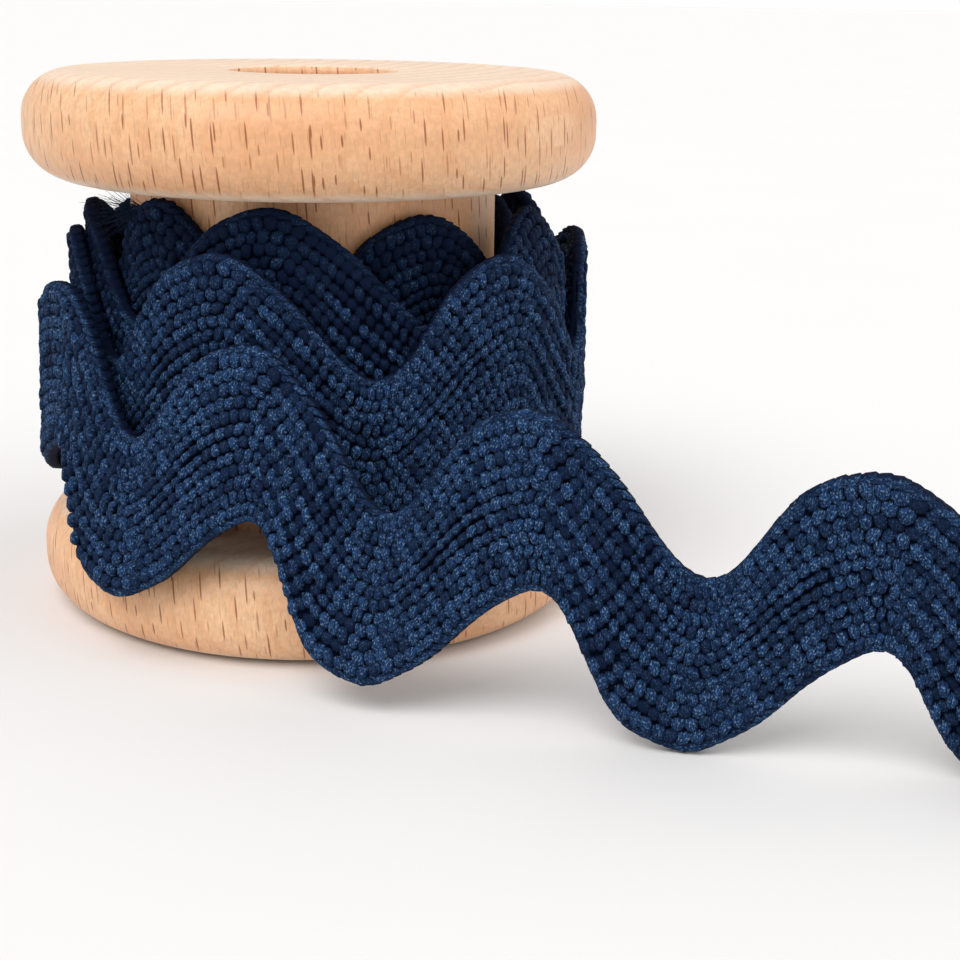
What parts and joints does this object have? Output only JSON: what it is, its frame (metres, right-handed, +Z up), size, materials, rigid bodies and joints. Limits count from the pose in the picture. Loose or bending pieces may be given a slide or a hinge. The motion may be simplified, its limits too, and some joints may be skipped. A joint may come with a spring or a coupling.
{
  "type": "spool of rickrack braid",
  "caption": "Turned wooden spool wound with wide navy rickrack braid, its loose end standing on edge on the table.",
  "frame": {"origin": "under the middle of the part's box, on the surface that it stands on", "axes": "+Z up along the spool's axis, -Y towards the viewer at the front, +X to the right, the way the loose end runs"},
  "size_m": [0.099, 0.0952, 0.0561],
  "materials": {
    "beech": "fine turned beech, sanded, with a dull wax sheen",
    "navy_braid": "matte plaited yarn with a slight fibre glint"
  },
  "bodies": {
    "root": {"spool": "beech", "rickrack": "navy_braid"}
  },
  "joints": []
}
